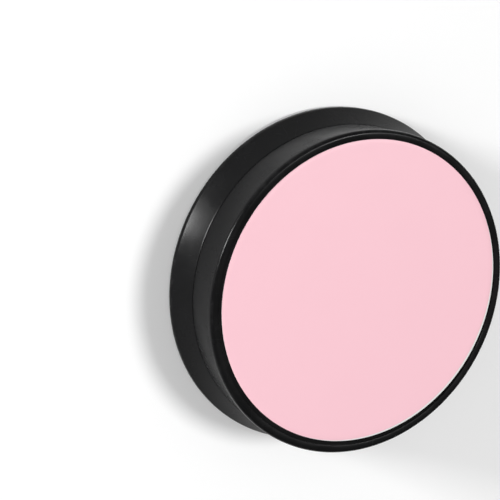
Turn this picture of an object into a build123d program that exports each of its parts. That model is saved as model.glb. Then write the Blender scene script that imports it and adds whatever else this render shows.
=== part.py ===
"""Finger moistener: a low round jar of creme with a press-on lid.

Millimetres, +Z up. The origin is on the jar's axis, on the surface that the jar stands on.
Every piece is turned about Z, apart from the ribs under the base and the label, which
is stuck on a little off the middle of its recess.
Radii are measured from the axis, and heights from that surface.
"""

import os
from math import cos, radians, sin

from build123d import *

# Outside
TOTAL_HEIGHT = 15.75
WAIST_HEIGHT = 6.1  # the base's shoulder, where the lid's skirt ends
WAIST_RADIUS = 31.85  # narrowest part, at the shoulder
FOOT_FLARE = 2.35  # from the waist out to the foot lip
SKIRT_FLARE = 0.45  # from the waist out to the lid's skirt, just under the flange
FLANGE_PROUD = 0.45  # from there out to the flange's edge
FOOT_LIP = 1.6  # height of the foot lip
FLANGE = 1.5  # height of the lid's flange
BAND_LEAN = 8.0  # degrees off upright where the base's band reaches the waist
SKIRT_LEAN = 1.5  # degrees off upright where the lid's skirt reaches the waist
WALL = 1.4  # walls of both mouldings
FOOT_EDGE = 0.5
LIP_EDGE = 0.35
FLANGE_EDGE = 0.55
FLANGE_UNDER_EDGE = 0.25

# Base, inside and underneath
NECK_CLEARANCE = 0.85  # between the neck and the lid's skirt
NECK_EDGE = 0.4
NECK_ROOT = 0.3
FLOOR = 1.5  # thickness of the dish's floor
DISH_CORNER = 4.6  # wide enough for a fingertip to follow
RIB_COUNT = 12
RIB_THICKNESS = 0.9
RIB_RISE = 0.6  # a rib's lower edge above the floor's underside
RIB_BITE = 0.3  # how far a rib runs into the walls that it joins

# Snap beads of neck and skirt
BEAD_PROUD = 0.4
BEAD_HALF = 0.65
BEAD_DROP = 3.2  # the neck bead's middle below the neck's rim
SNAP_CLEARANCE = 0.05  # between the crests of the two beads

# Lid
RIM_WIDTH = 1.6  # round the label's recess
RECESS_DEPTH = 0.25
LID_PLATE = 1.15  # thickness under the label
LID_CORNER = 0.6
PARTING_GAP = 0.12  # between the skirt's edge and the base's shoulder
SKIRT_BEVEL = 0.15

# Label, liner, creme and pad
LABEL_CLEARANCE = 0.5
LABEL_THICKNESS = 0.15
LABEL_OFF_X = 0.24  # how far the label's middle lies from the jar's axis
LABEL_OFF_Y = 0.34
LINER_CLEARANCE = 0.75  # round the liner, past the lid's inside corner
LINER_THICKNESS = 1.0
SEAL_GAP = 0.05  # between the liner and the neck's rim
CREME_DEPTH = 4.4
CREME_GAP = 0.05  # between the creme and the dish
CREME_SAG = 0.5  # how far the creme's middle lies below its edge
PAD_THICKNESS = 1.8
PAD_PROUD = 0.3  # how far the pad stands out below the foot lip
PAD_MARGIN = 0.6  # bare floor round the pad
PAD_EDGE = 0.2

# The outside corners of a section, in order of height
LOWER = 0
UPPER = -1

# Radii that follow, from the outside in
foot_radius = WAIST_RADIUS + FOOT_FLARE
skirt_top_radius = WAIST_RADIUS + SKIRT_FLARE
rim_radius = skirt_top_radius + FLANGE_PROUD
recess_radius = rim_radius - RIM_WIDTH
lid_bore = WAIST_RADIUS - WALL
neck_radius = lid_bore - NECK_CLEARANCE
dish_radius = neck_radius - WALL
floor_radius = dish_radius - DISH_CORNER
neck_bead_crest = neck_radius + BEAD_PROUD
skirt_bead_crest = neck_bead_crest + SNAP_CLEARANCE

# Heights that follow, from the surface up
foot_bottom = PAD_PROUD
lip_top = foot_bottom + FOOT_LIP
floor_under = PAD_THICKNESS
dish_floor = floor_under + FLOOR
creme_top = dish_floor + CREME_DEPTH
shoulder_under = WAIST_HEIGHT - WALL
skirt_bottom = WAIST_HEIGHT + PARTING_GAP
flange_bottom = TOTAL_HEIGHT - FLANGE
recess_floor = TOTAL_HEIGHT - RECESS_DEPTH
lid_under = recess_floor - LID_PLATE
liner_bottom = lid_under - LINER_THICKNESS
neck_top = liner_bottom - SEAL_GAP
neck_bead_middle = neck_top - BEAD_DROP
skirt_bead_middle = neck_bead_middle - 2 * BEAD_HALF


def round_section(radius, bottom, top, corner, rounded=LOWER):
    """Half the section of a round block, from the axis out to radius, with one outside corner rounded."""
    with BuildSketch() as section:
        with Locations((0, bottom)):
            Rectangle(radius, top - bottom, align=(Align.MIN, Align.MIN))
        fillet(vertices().group_by(Axis.X)[-1].sort_by(Axis.Y)[rounded], corner)
    return section.sketch_local


def bead_section(wall_radius, crest_radius, middle):
    """A rounded snap bead on a wall, rooted as deep in the wall as it stands out of it."""
    root_radius = 2 * wall_radius - crest_radius
    with BuildSketch() as section:
        with BuildLine():
            crest = ThreePointArc(
                (wall_radius, middle - BEAD_HALF),
                (crest_radius, middle),
                (wall_radius, middle + BEAD_HALF),
            )
            Polyline(
                crest @ 1,
                (root_radius, middle + BEAD_HALF),
                (root_radius, middle - BEAD_HALF),
                crest @ 0,
            )
        make_face()
    return section.sketch_local


# Base: foot lip, flared band, shoulder, neck and dish in one moulding
with BuildPart() as jar_base:
    with BuildSketch(Plane.XZ):
        with BuildLine():
            band = TangentArc(
                (WAIST_RADIUS, WAIST_HEIGHT),
                (foot_radius, lip_top),
                tangent=(sin(radians(BAND_LEAN)), -cos(radians(BAND_LEAN))),
            )
            Polyline(
                band @ 1,
                (foot_radius, foot_bottom),
                (0, foot_bottom),
                (0, neck_top),
                (neck_radius, neck_top),
                (neck_radius, WAIST_HEIGHT),
                band @ 0,
            )
        make_face()
        fillet(vertices().group_by(Axis.X)[-1].sort_by(Axis.Y)[0], FOOT_EDGE)
        fillet(vertices().group_by(Axis.X)[-1].sort_by(Axis.Y)[-1], LIP_EDGE)
        fillet(
            vertices().sort_by_distance((neck_radius, WAIST_HEIGHT))[0], NECK_ROOT
        )
    revolve(axis=Axis.Z)

    # The dish that holds the creme, and the neck's rounded rim
    with BuildSketch(Plane.XZ):
        add(round_section(dish_radius, dish_floor, neck_top, DISH_CORNER))
    revolve(axis=Axis.Z, mode=Mode.SUBTRACT)
    fillet(jar_base.faces().sort_by(Axis.Z)[-1].edges(), NECK_EDGE)

    # The underside: a recess for the pad, and the channel between the dish and the band
    with BuildSketch(Plane.XZ) as hollow:
        with BuildLine():
            band_inside = TangentArc(
                (WAIST_RADIUS - WALL, shoulder_under),
                (foot_radius - WALL, foot_bottom),
                tangent=(sin(radians(BAND_LEAN)), -cos(radians(BAND_LEAN))),
            )
            Polyline(
                band_inside @ 1, (0, foot_bottom), (0, shoulder_under), band_inside @ 0
            )
        make_face()
        add(
            round_section(neck_radius, floor_under, neck_top, DISH_CORNER + WALL),
            mode=Mode.SUBTRACT,
        )
    revolve(axis=Axis.Z, mode=Mode.SUBTRACT)

    # Ribs across the channel, which keep the band round
    with BuildSketch(Plane.XZ) as rib_web:
        add(hollow.sketch_local)
        offset(amount=RIB_BITE)
        with Locations((0, floor_under + RIB_RISE)):
            Rectangle(
                foot_radius,
                WAIST_HEIGHT,
                align=(Align.MIN, Align.MIN),
                mode=Mode.INTERSECT,
            )
    rib = extrude(amount=RIB_THICKNESS / 2, both=True, mode=Mode.PRIVATE)
    with PolarLocations(0, RIB_COUNT):
        add(rib)

    # The bead that the lid snaps over
    with BuildSketch(Plane.XZ):
        add(bead_section(neck_radius, neck_bead_crest, neck_bead_middle))
    revolve(axis=Axis.Z)
jar_base.part.label = "jar_base"

# Creme: fills the dish's corner, and dips towards its middle where fingertips wipe it
with BuildPart() as creme:
    with BuildSketch(Plane.XZ):
        add(
            round_section(
                dish_radius - CREME_GAP,
                dish_floor + CREME_GAP,
                neck_top,
                DISH_CORNER - CREME_GAP,
            )
        )
        with BuildLine():
            dip = TangentArc(
                (0, creme_top - CREME_SAG), (dish_radius, creme_top), tangent=(1, 0)
            )
            Polyline(dip @ 1, (dish_radius, neck_top), (0, neck_top), dip @ 0)
        make_face(mode=Mode.SUBTRACT)
    revolve(axis=Axis.Z)
creme.part.label = "creme"

# Non-skid pad, stuck in the recess under the floor
with BuildPart() as foot_pad:
    Cylinder(
        floor_radius - PAD_MARGIN,
        PAD_THICKNESS,
        align=(Align.CENTER, Align.CENTER, Align.MIN),
    )
    fillet(foot_pad.faces().sort_by(Axis.Z)[0].edges(), PAD_EDGE)
foot_pad.part.label = "foot_pad"

# Lid: plate with the label's recess, flange, and the skirt that covers the neck
with BuildPart() as lid:
    with BuildSketch(Plane.XZ):
        with BuildLine():
            skirt = TangentArc(
                (WAIST_RADIUS, skirt_bottom),
                (skirt_top_radius, flange_bottom),
                tangent=(sin(radians(SKIRT_LEAN)), cos(radians(SKIRT_LEAN))),
            )
            Polyline(
                skirt @ 1,
                (rim_radius, flange_bottom),
                (rim_radius, TOTAL_HEIGHT),
                (0, TOTAL_HEIGHT),
                (0, skirt_bottom),
                skirt @ 0,
            )
        make_face()
        fillet(vertices().group_by(Axis.X)[-1].sort_by(Axis.Y)[0], FLANGE_UNDER_EDGE)
        fillet(vertices().group_by(Axis.X)[-1].sort_by(Axis.Y)[-1], FLANGE_EDGE)
    revolve(axis=Axis.Z)

    # Recess for the label
    with BuildSketch(Plane.XY.offset(recess_floor)):
        Circle(recess_radius)
    extrude(amount=RECESS_DEPTH, mode=Mode.SUBTRACT)

    # Inside of the skirt, and its bevelled edge
    with BuildSketch(Plane.XZ):
        add(round_section(lid_bore, skirt_bottom, lid_under, LID_CORNER, UPPER))
    revolve(axis=Axis.Z, mode=Mode.SUBTRACT)
    chamfer(lid.faces().sort_by(Axis.Z)[0].edges(), SKIRT_BEVEL)

    # The bead that snaps under the neck's
    with BuildSketch(Plane.XZ):
        add(bead_section(lid_bore, skirt_bead_crest, skirt_bead_middle))
    revolve(axis=Axis.Z)
lid.part.label = "lid"

# Sealing wad, pressed up against the lid's plate
with BuildPart() as lid_liner:
    with BuildSketch(Plane.XY.offset(liner_bottom)):
        Circle(lid_bore - LINER_CLEARANCE)
    extrude(amount=LINER_THICKNESS)
lid_liner.part.label = "lid_liner"

# Paper label, flat in its recess
with BuildPart() as label:
    with BuildSketch(Plane.XY.offset(recess_floor)):
        with Locations((LABEL_OFF_X, LABEL_OFF_Y)):
            Circle(recess_radius - LABEL_CLEARANCE)
    extrude(amount=LABEL_THICKNESS)
label.part.label = "label"

os.makedirs("parts", exist_ok=True)
for piece in (jar_base, creme, foot_pad, lid, lid_liner, label):
    export_step(piece.part, f"parts/{piece.part.label}.step")
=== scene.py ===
"""Looks of the finger moistener: its mouldings, label, creme, sealing wad and foot pad.

The model's own frame: +Z up along the jar's axis, from the surface that the jar stands on.
Forms are written in millimetres from that origin, and built in metres.
"""

from math import asin, atan2, cos, degrees, exp, hypot, pi, radians, sin, tau

import bmesh
import bpy
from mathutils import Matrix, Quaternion, Vector, noise


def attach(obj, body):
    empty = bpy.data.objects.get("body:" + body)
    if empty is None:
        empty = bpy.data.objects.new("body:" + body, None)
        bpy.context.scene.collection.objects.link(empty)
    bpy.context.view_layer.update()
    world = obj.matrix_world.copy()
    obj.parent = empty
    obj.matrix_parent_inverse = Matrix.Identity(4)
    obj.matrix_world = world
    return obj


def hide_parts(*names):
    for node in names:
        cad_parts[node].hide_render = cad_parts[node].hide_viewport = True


MM = 0.001
SPAN_INPUTS = ("From Min", "From Max", "To Min", "To Max")

# Camera: where it stands round the jar, as the photograph shows it
CAMERA_AZIMUTH = 241.05
CAMERA_ELEVATION = 57.7
CAMERA_ROLL = 118.4
CAMERA_LENS = 216.0
SENSOR = 36.0
IMAGE_SIDE = 500
FOOT_CENTRE = Vector((0, 0, 0.535 * MM))
FOOT_CENTRE_PX = (321.7, 273.5)  # where the photograph shows it
CAMERA_DISTANCE = 600.2 * MM

# Light: one soft key lamp, a softbox low on the near side, and a dim room
KEY_AZIMUTH = 98
KEY_ELEVATION = 62
KEY_LEVEL = 0.53
KEY_SPREAD = 15
SOFTBOX_AZIMUTH = 250
SOFTBOX_ELEVATION = 8.5
SOFTBOX_DISTANCE = 1.0
SOFTBOX_WIDTH = 0.21
SOFTBOX_HEIGHT = 0.28
SOFTBOX_RADIANCE = 95.0
ROOM_SIDES = 0.06
ROOM_OVERHEAD = 0.42
ROOM_RISE = (0.15, 0.95)  # from what upward share to what the room brightens
FLOOR_GLOW = 0.08  # what floor and backdrop show beyond the light that falls on them
WALL_GLOW = 0.55

# Floor: a round sheet that sweeps up into a low backdrop
FLOOR_REACH = 3000
FLOOR_COVE = 400
FLOOR_RINGS = (60, 200, 600, 1500)
FLOOR_SEGMENTS = 96
GLOW_RISE = 300  # the height by which the floor's glow has become the wall's
FLOOR_PAINT = (0.9, 0.9, 0.9, 1)

# Sizes that more than one piece needs
NECK_RADIUS = 29.6
NECK_TOP = 13.3
DISH_RADIUS = 28.2
DISH_FLOOR = 3.3
LABEL_BOTTOM = 15.5
PAD_TOP = 1.8

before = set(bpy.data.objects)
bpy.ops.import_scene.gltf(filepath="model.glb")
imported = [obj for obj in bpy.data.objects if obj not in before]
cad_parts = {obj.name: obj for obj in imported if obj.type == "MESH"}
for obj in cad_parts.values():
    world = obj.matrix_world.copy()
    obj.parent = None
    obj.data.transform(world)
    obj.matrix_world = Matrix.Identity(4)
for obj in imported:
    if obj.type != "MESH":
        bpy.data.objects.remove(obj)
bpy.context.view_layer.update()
scene = bpy.context.scene
scene.view_settings.view_transform = "Standard"


def direction(azimuth, elevation):
    """The way from the jar to a place round it. Azimuth 0 is -Y and 90 is +X."""
    a, e = radians(azimuth), radians(elevation)
    return Vector((sin(a) * cos(e), -cos(a) * cos(e), sin(e)))


def link(obj):
    scene.collection.objects.link(obj)
    return obj


# ---------------------------------------------------------------- camera, lamps and floor


def add_camera():
    back = direction(CAMERA_AZIMUTH, CAMERA_ELEVATION)
    roll = Quaternion((0, 0, 1), radians(CAMERA_ROLL))
    turn = back.to_track_quat("Z", "Y") @ roll
    per_pixel = CAMERA_DISTANCE * SENSOR / (CAMERA_LENS * IMAGE_SIDE)
    middle = IMAGE_SIDE / 2
    across = (FOOT_CENTRE_PX[0] - middle) * per_pixel
    up = (middle - FOOT_CENTRE_PX[1]) * per_pixel
    data = bpy.data.cameras.new("camera")
    data.lens = CAMERA_LENS
    data.sensor_width = SENSOR
    data.clip_start = 10 * MM
    camera = link(bpy.data.objects.new("camera", data))
    camera.rotation_mode = "QUATERNION"
    camera.rotation_quaternion = turn
    camera.location = FOOT_CENTRE - turn @ Vector((across, up, -CAMERA_DISTANCE))
    scene.camera = camera


def aim(lamp, azimuth, elevation, distance):
    lamp.rotation_mode = "QUATERNION"
    lamp.rotation_quaternion = direction(azimuth, elevation).to_track_quat("Z", "Y")
    lamp.location = direction(azimuth, elevation) * distance


def add_key(name, azimuth, elevation, level, spread):
    """A distant lamp. A white surface that faces it shows level, where 1 is white."""
    data = bpy.data.lights.new(name, "SUN")
    data.energy = level * pi
    data.angle = radians(spread)
    aim(link(bpy.data.objects.new(name, data)), azimuth, elevation, 1.0)


def add_softbox(name, azimuth, elevation, distance):
    """A bright panel that faces the jar."""
    data = bpy.data.lights.new(name, "AREA")
    data.shape = "RECTANGLE"
    data.size = SOFTBOX_WIDTH
    data.size_y = SOFTBOX_HEIGHT
    data.energy = SOFTBOX_RADIANCE * pi * SOFTBOX_WIDTH * SOFTBOX_HEIGHT
    aim(link(bpy.data.objects.new(name, data)), azimuth, elevation, distance)


def add_room():
    """A dim room, lighter overhead than at its sides."""
    world = bpy.data.worlds.new("room")
    scene.world = world
    world.use_nodes = True
    nodes, links = world.node_tree.nodes, world.node_tree.links
    way = nodes.new("ShaderNodeTexCoord")
    split = nodes.new("ShaderNodeSeparateXYZ")
    level = nodes.new("ShaderNodeMapRange")
    level.interpolation_type = "SMOOTHSTEP"
    numbers = (*ROOM_RISE, ROOM_SIDES, ROOM_OVERHEAD)
    for name, number in zip(SPAN_INPUTS, numbers):
        level.inputs[name].default_value = number
    background = nodes["Background"]
    background.inputs["Color"].default_value = (1, 1, 1, 1)
    links.new(way.outputs["Generated"], split.inputs["Vector"])
    links.new(split.outputs["Z"], level.inputs["Value"])
    links.new(level.outputs[0], background.inputs["Strength"])


def add_floor():
    """The sheet. Its glow is seen, and mirrored in gloss, but doesn't light the jar."""
    section = [(0, 0)]
    section += [(radius, 0) for radius in FLOOR_RINGS]
    section += corner(FLOOR_REACH - FLOOR_COVE, FLOOR_COVE, FLOOR_COVE, -90, 0, 12)
    sweep = turned("floor_sweep", section, FLOOR_SEGMENTS)
    graph = Graph("floor_paint")
    graph.set("Base Color", FLOOR_PAINT)
    graph.set("Roughness", 0.9)
    graph.set("Specular IOR Level", 0.1)
    path = graph.node("ShaderNodeLightPath")
    seen = graph.math("MAXIMUM", path.outputs["Is Camera Ray"], path.outputs["Is Glossy Ray"])
    seen = graph.math("MAXIMUM", seen, path.outputs["Is Transmission Ray"])
    height = graph.from_axis()[1]
    glow = graph.span(height, 0, GLOW_RISE, FLOOR_GLOW, WALL_GLOW)
    graph.set("Emission Color", (1, 1, 1, 1))
    graph.join(graph.math("MULTIPLY", seen, glow), "Emission Strength")
    sweep.data.materials.append(graph.material)


# ---------------------------------------------------------------- node and mesh helpers


class Graph:
    """A material's nodes. A socket or a plain number may feed any input."""

    def __init__(self, name):
        self.material = bpy.data.materials.new(name)
        self.material.use_nodes = True
        self.tree = self.material.node_tree
        self.shader = self.tree.nodes["Principled BSDF"]
        self.place = None

    def node(self, kind, **inputs):
        made = self.tree.nodes.new(kind)
        for name, value in inputs.items():
            self.feed(value, made.inputs[name.replace("_", " ")])
        return made

    def feed(self, value, socket):
        if isinstance(value, bpy.types.NodeSocket):
            self.tree.links.new(value, socket)
        else:
            socket.default_value = value

    def set(self, name, value):
        self.shader.inputs[name].default_value = value

    def join(self, value, name):
        self.tree.links.new(value, self.shader.inputs[name])

    def math(self, operation, *values, clamp=False):
        made = self.tree.nodes.new("ShaderNodeMath")
        made.operation = operation
        made.use_clamp = clamp
        for value, socket in zip(values, made.inputs):
            self.feed(value, socket)
        return made.outputs[0]

    def millimetres(self):
        """The point on the jar, in millimetres."""
        if self.place is None:
            scale = self.tree.nodes.new("ShaderNodeVectorMath")
            scale.operation = "SCALE"
            scale.inputs["Scale"].default_value = 1 / MM
            source = self.node("ShaderNodeTexCoord").outputs["Object"]
            self.tree.links.new(source, scale.inputs[0])
            self.place = scale.outputs[0]
        return self.place

    def from_axis(self, x=0.0, y=0.0):
        """The distance from an upright line, and the height, both in millimetres."""
        split = self.node("ShaderNodeSeparateXYZ", Vector=self.millimetres())
        across = self.math("SUBTRACT", split.outputs["X"], x)
        along = self.math("SUBTRACT", split.outputs["Y"], y)
        squares = self.math("MULTIPLY_ADD", across, across, self.math("MULTIPLY", along, along))
        return self.math("SQRT", squares), split.outputs["Z"]

    def grain(self, size, detail=2.0, stretch=None, turn=0.0):
        """Noise from 0 to 1 whose features are about size millimetres across."""
        place = self.millimetres()
        if stretch is not None:
            mapping = self.node("ShaderNodeMapping", Vector=place, Scale=stretch)
            mapping.inputs["Rotation"].default_value[2] = radians(turn)
            place = mapping.outputs[0]
        made = self.node("ShaderNodeTexNoise", Vector=place, Scale=1 / size, Detail=detail)
        return made.outputs["Fac"]

    def cells(self, size):
        """Distance to the middle of the nearest cell, for cells about size millimetres wide."""
        made = self.node("ShaderNodeTexVoronoi", Vector=self.millimetres(), Scale=1 / size)
        return made.outputs["Distance"]

    def span(self, value, low, high, to_low, to_high):
        """value's range from low to high, spread smoothly over to_low to to_high."""
        made = self.node("ShaderNodeMapRange", Value=value)
        made.interpolation_type = "SMOOTHSTEP"
        for name, number in zip(SPAN_INPUTS, (low, high, to_low, to_high)):
            self.feed(number, made.inputs[name])
        return made.outputs[0]

    def blend(self, share, first, second):
        made = self.tree.nodes.new("ShaderNodeMix")
        made.data_type = "RGBA"
        self.feed(share, made.inputs["Factor"])
        for value, socket in zip((first, second), made.inputs[6:8]):
            self.feed(value, socket)
        return made.outputs[2]

    def relief(self, *layers):
        """Bumps, each a height from 0 to 1 and how many millimetres that stands for."""
        normal = None
        for height, depth in layers:
            bump = self.node("ShaderNodeBump", Height=height, Distance=depth * MM)
            if normal is not None:
                self.tree.links.new(normal, bump.inputs["Normal"])
            normal = bump.outputs[0]
        self.join(normal, "Normal")


def built(name, bm):
    """The object of a mesh that has been put together, with its faces turned outwards."""
    bmesh.ops.recalc_face_normals(bm, faces=bm.faces)
    mesh = bpy.data.meshes.new(name)
    bm.to_mesh(mesh)
    bm.free()
    return link(bpy.data.objects.new(name, mesh))


def turned(name, section, segments, height_at=None, middle=(0, 0)):
    """A round piece from its section: (radius, height) points, in millimetres.

    height_at, where given, moves a point of the section to another height.
    """
    bm = bmesh.new()
    rings = []
    for radius, height in section:
        count = 1 if radius == 0 else segments
        ring = []
        for i in range(count):
            a = tau * i / segments
            x, y, z = radius * cos(a), radius * sin(a), height
            if height_at is not None:
                z = height_at(x, y, z)
            ring.append(bm.verts.new(((x + middle[0]) * MM, (y + middle[1]) * MM, z * MM)))
        rings.append(ring)
    for inner, outer in zip(rings, rings[1:]):
        for i in range(segments):
            j = (i + 1) % segments
            corners = [
                inner[i % len(inner)],
                outer[i % len(outer)],
                outer[j % len(outer)],
                inner[j % len(inner)],
            ]
            bm.faces.new(list(dict.fromkeys(corners)))
    piece = built(name, bm)
    piece.data.shade_smooth()
    return piece


def corner(radius, height, size, start, end, steps=6):
    """Points of a rounded corner about its middle, from one angle of the section to another."""
    points = []
    for step in range(steps + 1):
        a = radians(start + (end - start) * step / steps)
        points.append((radius + size * cos(a), height + size * sin(a)))
    return points


def bow(start, end, way, steps):
    """Points of an arc from start, where it runs the given way, to end."""
    along, up = end[0] - start[0], end[1] - start[1]
    size = (along * along + up * up) / (2 * (up * way[0] - along * way[1]))
    middle = (start[0] - size * way[1], start[1] + size * way[0])
    first = atan2(start[1] - middle[1], start[0] - middle[0])
    last = atan2(end[1] - middle[1], end[0] - middle[0])
    turn = (last - first + pi) % tau - pi
    angles = [first + turn * step / steps for step in range(steps + 1)]
    return [(middle[0] + abs(size) * cos(a), middle[1] + abs(size) * sin(a)) for a in angles]


def spread(start, end, step):
    """Radii from start to end, about step apart, without start itself."""
    count = max(1, round(abs(end - start) / step))
    return [start + (end - start) * i / count for i in range(1, count + 1)]


def ease(value):
    value = min(1.0, max(0.0, value))
    return value * value * (3 - 2 * value)


def dress(piece, graph, body, node):
    piece.data.materials.append(graph.material)
    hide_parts(node)
    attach(piece, body)


# ---------------------------------------------------------------- black mouldings

BLACK = (0.0033, 0.0033, 0.0035, 1)
SMEARED_BLACK = (0.0068, 0.0068, 0.0071, 1)
WORN_BLACK = (0.016, 0.016, 0.0165, 1)
MOULD_GLOSS = 0.22
MOULD_SPECULAR = 0.085
GLOSS_DOWN = 0.04  # how much glossier, and how much duller, smears make it
GLOSS_UP = 0.07
DULLING = 0.07  # what scratches and worn edges add to the roughness
SMEAR_SHARE = 0.35
WEAR_SHARE = 0.35
EDGE_CORE = 0.15  # an edge is fully worn within this distance
EDGE_REACH = 0.5  # and not at all beyond this one
SHARP_ANGLE = 40  # a crease of at least this angle is shaded as an edge
MOULDING_SEGMENTS = 288


def edge_wear(graph, radius, height, edge_radius, edge_height):
    """1 on a round edge of the moulding, fading to 0 within reach of it."""
    out = graph.math("SUBTRACT", radius, edge_radius)
    up = graph.math("SUBTRACT", height, edge_height)
    squares = graph.math("MULTIPLY_ADD", out, out, graph.math("MULTIPLY", up, up))
    return graph.span(graph.math("SQRT", squares), EDGE_CORE, EDGE_REACH, 1.0, 0.0)


def moulding(name, edges):
    """Black plastic, worn along the given edges: (radius, height) in millimetres."""
    graph = Graph(name)
    radius, height = graph.from_axis()
    worn = None
    for edge_radius, edge_height in edges:
        wear = edge_wear(graph, radius, height, edge_radius, edge_height)
        worn = wear if worn is None else graph.math("MAXIMUM", worn, wear)
    patches = graph.span(graph.grain(2.4, 4), 0.4, 0.75, 0.0, 1.0)
    worn = graph.math("MULTIPLY", worn, patches)

    # Hairline scratches from handling, in two directions, and faint smears
    first = graph.span(graph.grain(1.0, 1, (0.05, 3.2, 0.4), 24), 0.68, 0.74, 0.0, 1.0)
    second = graph.span(graph.grain(1.0, 1, (3.0, 0.06, 0.4), -17), 0.69, 0.75, 0.0, 1.0)
    scratched = graph.math("MAXIMUM", first, second)
    smears = graph.grain(7.0, 3)

    colour = graph.blend(graph.math("MULTIPLY", smears, SMEAR_SHARE), BLACK, SMEARED_BLACK)
    colour = graph.blend(graph.math("MULTIPLY", worn, WEAR_SHARE), colour, WORN_BLACK)
    graph.join(colour, "Base Color")
    rough = graph.span(smears, 0.3, 0.7, MOULD_GLOSS - GLOSS_DOWN, MOULD_GLOSS + GLOSS_UP)
    rough = graph.math("MULTIPLY_ADD", scratched, DULLING, rough)
    rough = graph.math("MULTIPLY_ADD", worn, DULLING, rough)
    graph.join(rough, "Roughness")
    graph.set("Specular IOR Level", MOULD_SPECULAR)
    graph.relief(
        (graph.grain(5.0, 1), 0.02),
        (graph.grain(0.55, 3, (1, 1, 0.05)), 0.004),
        (graph.grain(0.3, 2), 0.0016),
        (scratched, -0.0008),
    )
    return graph


# Base: foot lip, flared band, shoulder, neck and dish
FOOT_RADIUS = 34.2
FOOT_BOTTOM = 0.3
FOOT_EDGE = 0.6
LIP_EDGE = 0.9
LIP_MIDDLE = 1.26  # where the lip's rounding starts
LIP_TURN = 30  # how far round it runs before it meets the band
LIP_TOP = 1.5
WAIST_RADIUS = 31.85
WAIST_HEIGHT = 6.1
BAND_LEAN = 24
WALL = 1.4
FINE_EDGE = 0.05  # the least rounding of a moulded edge
NECK_EDGE = 0.4
NECK_ROOT = 0.3
NECK_BEAD = (30.0, 10.1)
BEAD_HALF = 0.65
BEAD_STEPS = 10
DISH_CORNER = 4.6
UNDER_CORNER = DISH_CORNER + WALL
UNDER_MIDDLE = PAD_TOP + UNDER_CORNER
CHANNEL_TOP = WAIST_HEIGHT - WALL

# Ribs in the channel under the base
RIB_COUNT = 12
RIB_THICKNESS = 0.9
RIB_BOTTOM = 2.4
RIB_BITE = 0.3

# Lid: skirt, flange, and the plate with the label's recess
LID_BORE = 30.45
LID_UNDER = 14.35
LID_CORNER = 0.6
LID_BEAD = (30.05, 8.8)
SKIRT_BOTTOM = 6.18
SKIRT_EDGE = 0.15
SKIRT_LEAN = 1.5
SKIRT_TOP_RADIUS = 32.3
FLANGE_BOTTOM = 14.25
FLANGE_UNDER_EDGE = 0.25
FLANGE_EDGE = 0.7
RIM_RADIUS = 32.8
RIM_TOP = 15.75
RECESS_RADIUS = 31.15

# Where the mouldings are worn
FOOT_WEAR_HEIGHT = 0.4
RIM_WEAR_INSET = 0.2


def bead(wall, crest):
    """A snap bead's section, from its upper end to its lower one."""
    middle = crest[1]
    size = ((crest[0] - wall) ** 2 + BEAD_HALF**2) / (2 * abs(crest[0] - wall))
    side = 1 if crest[0] > wall else -1
    half = asin(BEAD_HALF / size)
    turns = [half * (1 - 2 * step / BEAD_STEPS) for step in range(BEAD_STEPS + 1)]
    return [(crest[0] - side * size * (1 - cos(turn)), middle + size * sin(turn)) for turn in turns]


def band_way():
    """The way that the band runs where it leaves the waist."""
    return sin(radians(BAND_LEAN)), -cos(radians(BAND_LEAN))


def channel_side():
    """The band's inside, from the shoulder down to the foot."""
    start = (WAIST_RADIUS - WALL, CHANNEL_TOP)
    return bow(start, (FOOT_RADIUS - WALL, FOOT_BOTTOM), band_way(), 12)


def under_turn(height, size):
    """How far round the dish's outer corner, of this size, a height is met."""
    return -degrees(asin((UNDER_MIDDLE - height) / size))


def base_section():
    """From the underside's middle out round the foot, up band and neck, and into the dish."""
    meets = under_turn(CHANNEL_TOP, UNDER_CORNER)
    section = [(0, PAD_TOP)]
    section += corner(NECK_RADIUS - UNDER_CORNER, UNDER_MIDDLE, UNDER_CORNER, -90, meets, 12)
    section += channel_side()
    section += corner(FOOT_RADIUS - FOOT_EDGE, FOOT_BOTTOM + FOOT_EDGE, FOOT_EDGE, -90, 0, 8)
    section += corner(FOOT_RADIUS - LIP_EDGE, LIP_MIDDLE, LIP_EDGE, 0, LIP_TURN, 8)
    band = bow((WAIST_RADIUS, WAIST_HEIGHT), (FOOT_RADIUS, LIP_TOP), band_way(), 40)
    lip_end, shoulder = section[-1][1], WAIST_HEIGHT - FINE_EDGE
    section += [point for point in reversed(band) if lip_end < point[1] < shoulder]
    section += corner(WAIST_RADIUS - FINE_EDGE, shoulder, FINE_EDGE, BAND_LEAN, 90, 3)
    section += corner(NECK_RADIUS + NECK_ROOT, WAIST_HEIGHT + NECK_ROOT, NECK_ROOT, 270, 180, 5)
    section += reversed(bead(NECK_RADIUS, NECK_BEAD))
    section += corner(NECK_RADIUS - NECK_EDGE, NECK_TOP - NECK_EDGE, NECK_EDGE, 0, 90, 7)
    section += corner(DISH_RADIUS + NECK_EDGE, NECK_TOP - NECK_EDGE, NECK_EDGE, 90, 180, 7)
    section += corner(DISH_RADIUS - DISH_CORNER, DISH_FLOOR + DISH_CORNER, DISH_CORNER, 0, -90, 12)
    return section + [(0, DISH_FLOOR)]


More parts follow.
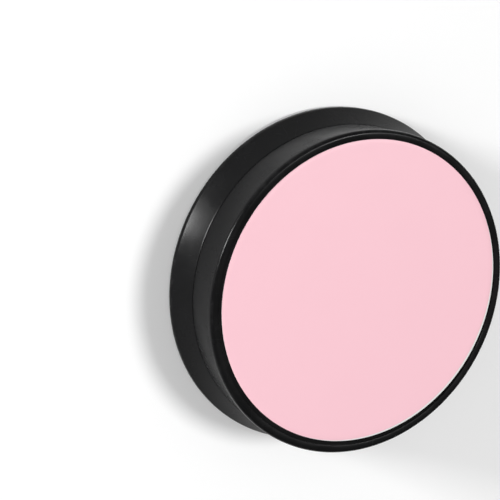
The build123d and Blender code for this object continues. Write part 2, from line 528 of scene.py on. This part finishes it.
def lid_section():
    """From the plate's underside down inside the skirt, up outside it, and over the rim."""
    section = [(0, LID_UNDER)]
    section += corner(LID_BORE - LID_CORNER, LID_UNDER - LID_CORNER, LID_CORNER, 90, 0, 6)
    section += bead(LID_BORE, LID_BEAD)
    inside = LID_BORE + SKIRT_EDGE
    section += corner(inside, SKIRT_BOTTOM + SKIRT_EDGE, SKIRT_EDGE, 180, 270, 3)
    skirt_way = (sin(radians(SKIRT_LEAN)), cos(radians(SKIRT_LEAN)))
    skirt = bow((WAIST_RADIUS, SKIRT_BOTTOM), (SKIRT_TOP_RADIUS, FLANGE_BOTTOM), skirt_way, 24)
    section += corner(WAIST_RADIUS - SKIRT_EDGE, SKIRT_BOTTOM + SKIRT_EDGE, SKIRT_EDGE, -90, 0, 3)
    section += [point for point in skirt if point[1] > SKIRT_BOTTOM + SKIRT_EDGE]
    under = RIM_RADIUS - FLANGE_UNDER_EDGE
    section += corner(under, FLANGE_BOTTOM + FLANGE_UNDER_EDGE, FLANGE_UNDER_EDGE, -90, 0, 5)
    section += corner(RIM_RADIUS - FLANGE_EDGE, RIM_TOP - FLANGE_EDGE, FLANGE_EDGE, 0, 90, 12)
    section += corner(RECESS_RADIUS + FINE_EDGE, RIM_TOP - FINE_EDGE, FINE_EDGE, 90, 180, 3)
    return section + [(RECESS_RADIUS, LABEL_BOTTOM), (0, LABEL_BOTTOM)]


def rib_outline():
    """A rib's outline, which runs a little way into the dish and the band."""
    size = UNDER_CORNER - RIB_BITE
    low = under_turn(RIB_BOTTOM, size)
    high = under_turn(CHANNEL_TOP + RIB_BITE, size)
    outline = corner(NECK_RADIUS - UNDER_CORNER, UNDER_MIDDLE, size, low, high, 8)
    outline += [(WAIST_RADIUS - WALL + RIB_BITE, CHANNEL_TOP + RIB_BITE)]
    for radius, height in channel_side():
        if height > RIB_BOTTOM:
            outline.append((radius + RIB_BITE, height))
    return outline


def add_ribs():
    """Upright webs across the channel under the base."""
    bm = bmesh.new()
    for index in range(RIB_COUNT):
        a = tau * index / RIB_COUNT
        sides = []
        for offset in (-RIB_THICKNESS / 2, RIB_THICKNESS / 2):
            places = [
                (radius * cos(a) - offset * sin(a), radius * sin(a) + offset * cos(a), height)
                for radius, height in rib_outline()
            ]
            sides.append([bm.verts.new(Vector(place) * MM) for place in places])
        count = len(sides[0])
        bm.faces.new(sides[0])
        bm.faces.new(reversed(sides[1]))
        for i in range(count):
            j = (i + 1) % count
            bm.faces.new((sides[0][i], sides[1][i], sides[1][j], sides[0][j]))
    return built("base_ribs", bm)


def add_moulding(name, section, finish, body, node):
    piece = turned(name, section, MOULDING_SEGMENTS)
    piece.data.set_sharp_from_angle(angle=radians(SHARP_ANGLE))
    dress(piece, finish, body, node)


def add_mouldings():
    base_edges = (
        (FOOT_RADIUS, FOOT_WEAR_HEIGHT),
        (FOOT_RADIUS, LIP_TOP),
        (NECK_RADIUS, NECK_TOP),
        (DISH_RADIUS, NECK_TOP),
    )
    finish = moulding("black_moulding_base", base_edges)
    add_moulding("base_moulding", base_section(), finish, "base", "jar_base")
    dress(add_ribs(), finish, "base", "jar_base")

    lid_edges = ((RIM_RADIUS - RIM_WEAR_INSET, RIM_TOP - RIM_WEAR_INSET),)
    finish = moulding("black_moulding_lid", lid_edges)
    add_moulding("lid_moulding", lid_section(), finish, "lid", "lid")


# ---------------------------------------------------------------- label

LABEL_RADIUS = 30.65
LABEL_MIDDLE = (0.24, 0.34)
LABEL_TOP = 15.65
LABEL_EDGE = 0.03
PRINT_SLIP = 0.64  # the print lies this far off the die-cut edge
PRINT_SLIP_WAY = 138
PRINT_RADIUS = 30.87
PINK = (0.94, 0.565, 0.635, 1)
PINK_MOTTLE = (0.86, 0.53, 0.6, 1)
PAPER_WHITE = (0.86, 0.85, 0.83, 1)
PRINT_BLUR = 0.03
PRINT_DEPTH = 0.02  # how far the ink goes down into the paper
CUT_DEPTH = 0.035  # below this the die-cut edge is all bare paper
LABEL_FLAT = 0.5  # the paper lies flat this far in from its edge
LABEL_FLAT_FADE = 4
LABEL_WAVE = 0.012
LABEL_WAVE_SIZE = 13
LABEL_SEGMENTS = 288


def label_height(x, y, z):
    """Slight waves in the paper, which lies flat round its edge."""
    if z < LABEL_TOP - LABEL_EDGE / 2:
        return z
    inward = ease((LABEL_RADIUS - LABEL_FLAT - hypot(x, y)) / LABEL_FLAT_FADE)
    return z + LABEL_WAVE * noise.noise(Vector((x, y, 0)) / LABEL_WAVE_SIZE) * inward


def add_label():
    section = [(0, LABEL_BOTTOM)]
    flat = LABEL_RADIUS - LABEL_EDGE
    section += corner(flat, LABEL_BOTTOM + LABEL_EDGE, LABEL_EDGE, -90, 0, 4)
    section += corner(flat, LABEL_TOP - LABEL_EDGE, LABEL_EDGE, 0, 90, 4)
    section += [(radius, LABEL_TOP) for radius in spread(flat - 0.05, 0, 0.9)]
    piece = turned("label_paper_disc", section, LABEL_SEGMENTS, label_height, LABEL_MIDDLE)

    graph = Graph("label_paper")
    slip = radians(PRINT_SLIP_WAY)
    from_print, height = graph.from_axis(
        LABEL_MIDDLE[0] + PRINT_SLIP * cos(slip), LABEL_MIDDLE[1] + PRINT_SLIP * sin(slip)
    )
    bare = graph.span(from_print, PRINT_RADIUS - PRINT_BLUR, PRINT_RADIUS + PRINT_BLUR, 0.0, 1.0)
    cut = graph.span(height, LABEL_TOP - CUT_DEPTH, LABEL_TOP - PRINT_DEPTH, 1.0, 0.0)
    bare = graph.math("MAXIMUM", bare, cut)
    mottle = graph.math("MULTIPLY", graph.grain(3.0, 5), 0.06)
    pink = graph.blend(mottle, PINK, PINK_MOTTLE)
    graph.join(graph.blend(bare, pink, PAPER_WHITE), "Base Color")
    graph.join(graph.span(graph.grain(4.5, 4), 0.3, 0.7, 0.42, 0.52), "Roughness")
    graph.set("Specular IOR Level", 0.3)
    graph.set("Coat Weight", 0.1)
    graph.set("Coat Roughness", 0.3)
    graph.relief((graph.grain(0.7, 3), 0.004), (graph.grain(0.12, 2, (1, 0.35, 1), 12), 0.0025))
    dress(piece, graph, "lid", "label")


# ---------------------------------------------------------------- creme

CREME_RADIUS = 28.15
CREME_BOTTOM = 3.35
CREME_CORNER = 4.55
CREME_MIDDLE = 7.1
CREME_WALL_TOP = 7.0
CREME_RISE = 0.36  # from the middle to the wall
MENISCUS = 0.16
MENISCUS_REACH = 0.55
SWIRL_HEIGHT = 0.022  # of the waves left by pouring
LUMP_HEIGHT = 0.05
SWIRL_RATE = 1.15
CALM_EDGE = 0.6  # the waves stop this far from the wall
CALM_FADE = 3
CREME_FINE_FROM = 26.0  # rings lie closer from here to the wall, for the meniscus
CREME_SEGMENTS = 320
CREME_PINK = (0.88, 0.53, 0.585, 1)
CREME_DEEP_PINK = (0.83, 0.455, 0.525, 1)
WIPE_RADIUS = 11.5  # the middle of a fingertip's path round the dish
WIPE_HALF_WIDTH = 6.2
WIPE_DEPTH = 0.42
WIPE_START = -35
WIPE_SWEEP = 150
WIPE_WANDER = 1.6  # how far the path strays from a circle
WIPE_FADE_IN = 0.22  # shares of the sweep
WIPE_FADE_OUT = 0.10
RIDGE_HEIGHT = 0.016  # the fingertip's own fine ridges
RIDGE_RATE = 46
BANK_HEIGHT = 0.10  # of the creme pushed up along both sides
BANK_PLACE = 1.18  # in half widths from the path's middle
BANK_WIDTH = 0.2
HEAP_HEIGHT = 0.22  # the creme pushed up where the fingertip left
HEAP_LENGTH = 2.2


def wipe(x, y):
    """The shallow trough of a fingertip, with the creme it pushed aside."""
    turn = (atan2(y, x) - radians(WIPE_START)) % tau
    share = turn / radians(WIPE_SWEEP)
    across = (hypot(x, y) - WIPE_RADIUS - WIPE_WANDER * sin(turn)) / WIPE_HALF_WIDTH
    along = ease(share / WIPE_FADE_IN) * ease((1.0 - share) / WIPE_FADE_OUT)
    trough = -WIPE_DEPTH * exp(-(across**4)) * along
    ridges = RIDGE_HEIGHT * sin(across * RIDGE_RATE) * exp(-(across**4)) * along
    banks = BANK_HEIGHT * exp(-(((abs(across) - BANK_PLACE) / BANK_WIDTH) ** 2)) * along
    past = (share - 1.0) * radians(WIPE_SWEEP) * WIPE_RADIUS / HEAP_LENGTH
    heap = HEAP_HEIGHT * exp(-((past - 0.3) ** 2)) * exp(-(across**2) * 1.4)
    return trough + ridges + banks + heap


def creme_height(x, y, z):
    """The poured surface: low in the middle, drawn up the wall, and wiped by a fingertip."""
    if z < CREME_MIDDLE:
        return z
    radius = hypot(x, y)
    top = CREME_MIDDLE + CREME_RISE * (radius / CREME_RADIUS) ** 2
    top += MENISCUS * exp((radius - CREME_RADIUS) / MENISCUS_REACH)
    calm = ease((CREME_RADIUS - CALM_EDGE - radius) / CALM_FADE)
    swirl = sin(radius * SWIRL_RATE - atan2(y, x) * 2 + 1.5 * noise.noise(Vector((x, y, 3)) / 9))
    lumps = noise.noise(Vector((x, y, 7)) / 7)
    top += (SWIRL_HEIGHT * swirl + LUMP_HEIGHT * lumps) * calm
    return top + wipe(x, y) * calm


def add_creme():
    section = [(0, CREME_BOTTOM)]
    across, up = CREME_RADIUS - CREME_CORNER, CREME_BOTTOM + CREME_CORNER
    section += corner(across, up, CREME_CORNER, -90, -20, 7)
    section += [(CREME_RADIUS, CREME_WALL_TOP), (CREME_RADIUS, CREME_MIDDLE)]
    section += [(radius, CREME_MIDDLE) for radius in spread(CREME_RADIUS, CREME_FINE_FROM, 0.15)]
    section += [(radius, CREME_MIDDLE) for radius in spread(CREME_FINE_FROM, 0, 0.3)]
    piece = turned("creme_fill", section, CREME_SEGMENTS, creme_height)

    graph = Graph("creme_wax")
    cloud = graph.span(graph.grain(6.0, 4), 0.3, 0.7, 0.0, 1.0)
    graph.join(graph.blend(cloud, CREME_PINK, CREME_DEEP_PINK), "Base Color")
    graph.join(graph.span(graph.grain(2.2, 4), 0.3, 0.7, 0.28, 0.44), "Roughness")
    graph.set("Specular IOR Level", 0.45)
    graph.set("Subsurface Weight", 0.35)
    graph.set("Subsurface Radius", (1.0, 0.45, 0.4))
    graph.set("Subsurface Scale", 1.6 * MM)
    graph.relief((graph.grain(1.4, 3), 0.02), (graph.grain(0.25, 2), 0.004))
    dress(piece, graph, "base", "creme")


# ---------------------------------------------------------------- sealing wad

WAD_RADIUS = 29.7
WAD_BOTTOM = 13.35
WAD_TOP = 14.35
WAD_EDGE = 0.16
PRESSED_DEPTH = 0.14  # the ring that the neck's rim has pressed into it
PRESSED_HALF = 0.72
WAD_WAVE = 0.02
WAD_FINE_FROM = 27.0  # rings lie closer from here outwards, for the pressed ring
WAD_SEGMENTS = 240
FOAM_WHITE = (0.82, 0.82, 0.8, 1)
FOAM_STAIN = (0.8, 0.74, 0.72, 1)
# Painted shade: the colour that the open pores of the foam are darkened to
FOAM_PORE_SHADE = (0.6, 0.6, 0.585, 1)


def wad_height(x, y, z):
    """The wad's underside, with the pressed ring."""
    if z > WAD_BOTTOM + 0.02:
        return z
    radius = hypot(x, y)
    ring = exp(-(((radius - (NECK_RADIUS + DISH_RADIUS) / 2) / PRESSED_HALF) ** 6))
    return z + PRESSED_DEPTH * ring + WAD_WAVE * (noise.noise(Vector((x, y, 0)) / 8) + 1)


def add_wad():
    section = [(0, WAD_BOTTOM)]
    flat = WAD_RADIUS - WAD_EDGE
    section += [(radius, WAD_BOTTOM) for radius in spread(0, WAD_FINE_FROM, 1.2)]
    section += [(radius, WAD_BOTTOM) for radius in spread(WAD_FINE_FROM, flat, 0.12)]
    section += corner(flat, WAD_BOTTOM + WAD_EDGE + 0.05, WAD_EDGE, -70, 0, 5)
    section += corner(flat, WAD_TOP - WAD_EDGE, WAD_EDGE, 0, 90, 5)
    section += [(radius, WAD_TOP) for radius in spread(flat - 0.05, 0, 4)]
    piece = turned("sealing_wad", section, WAD_SEGMENTS, wad_height)

    graph = Graph("liner_foam")
    pores = graph.cells(0.32)
    stain = graph.span(graph.grain(9.0, 4), 0.45, 0.75, 0.0, 1.0)
    colour = graph.blend(graph.math("MULTIPLY", stain, 0.4), FOAM_WHITE, FOAM_STAIN)
    # The open pores are painted darker, as painted shade inside them
    colour = graph.blend(graph.span(pores, 0.0, 0.3, 0.35, 0.0), colour, FOAM_PORE_SHADE)
    graph.join(colour, "Base Color")
    graph.join(graph.span(graph.grain(1.1, 3), 0.3, 0.7, 0.5, 0.68), "Roughness")
    graph.set("Specular IOR Level", 0.35)
    graph.set("Subsurface Weight", 0.2)
    graph.set("Subsurface Radius", (1.0, 1.0, 1.0))
    graph.set("Subsurface Scale", 0.5 * MM)
    graph.relief((pores, 0.03), (graph.grain(0.9, 3), 0.02))
    dress(piece, graph, "lid", "lid_liner")


# ---------------------------------------------------------------- foot pad

PAD_RADIUS = 23.0
PAD_EDGE = 0.3
PAD_SEGMENTS = 240
RUBBER = (0.03, 0.03, 0.032, 1)
RUBBER_DUST = (0.062, 0.06, 0.058, 1)
# Painted shade: the colour that the rubber's open pores are darkened to
RUBBER_PORE_SHADE = (0.012, 0.012, 0.013, 1)


def add_pad():
    section = [(0, 0)]
    section += [(radius, 0) for radius in spread(0, PAD_RADIUS - PAD_EDGE - 0.1, 2.5)]
    section += corner(PAD_RADIUS - PAD_EDGE, PAD_EDGE, PAD_EDGE, -90, 0, 6)
    section += [(PAD_RADIUS - 0.06, 0.9), (PAD_RADIUS - 0.02, 1.4)]
    section += corner(PAD_RADIUS - 0.12, PAD_TOP - 0.1, 0.1, 0, 90, 4)
    section += [(radius, PAD_TOP) for radius in spread(PAD_RADIUS - 0.2, 0, 4)]
    piece = turned("foam_foot_pad", section, PAD_SEGMENTS)

    graph = Graph("pad_rubber")
    pores = graph.cells(0.28)
    # The open pores are painted darker, as painted shade inside them
    painted_pore_shade = graph.span(pores, 0.0, 0.34, 1.0, 0.0)
    dust = graph.span(graph.grain(5.0, 5), 0.45, 0.75, 0.0, 1.0)
    colour = graph.blend(graph.math("MULTIPLY", dust, 0.45), RUBBER, RUBBER_DUST)
    colour = graph.blend(graph.math("MULTIPLY", painted_pore_shade, 0.6), colour, RUBBER_PORE_SHADE)
    graph.join(colour, "Base Color")
    graph.join(graph.span(graph.grain(1.5, 3), 0.3, 0.7, 0.74, 0.9), "Roughness")
    graph.set("Specular IOR Level", 0.35)
    graph.relief((pores, 0.05), (graph.grain(0.9, 4), 0.03))
    dress(piece, graph, "base", "foot_pad")


# ---------------------------------------------------------------- the scene

add_camera()
add_room()
add_floor()
add_key("key", KEY_AZIMUTH, KEY_ELEVATION, KEY_LEVEL, KEY_SPREAD)
add_softbox("softbox", SOFTBOX_AZIMUTH, SOFTBOX_ELEVATION, SOFTBOX_DISTANCE)
add_mouldings()
add_label()
add_creme()
add_wad()
add_pad()
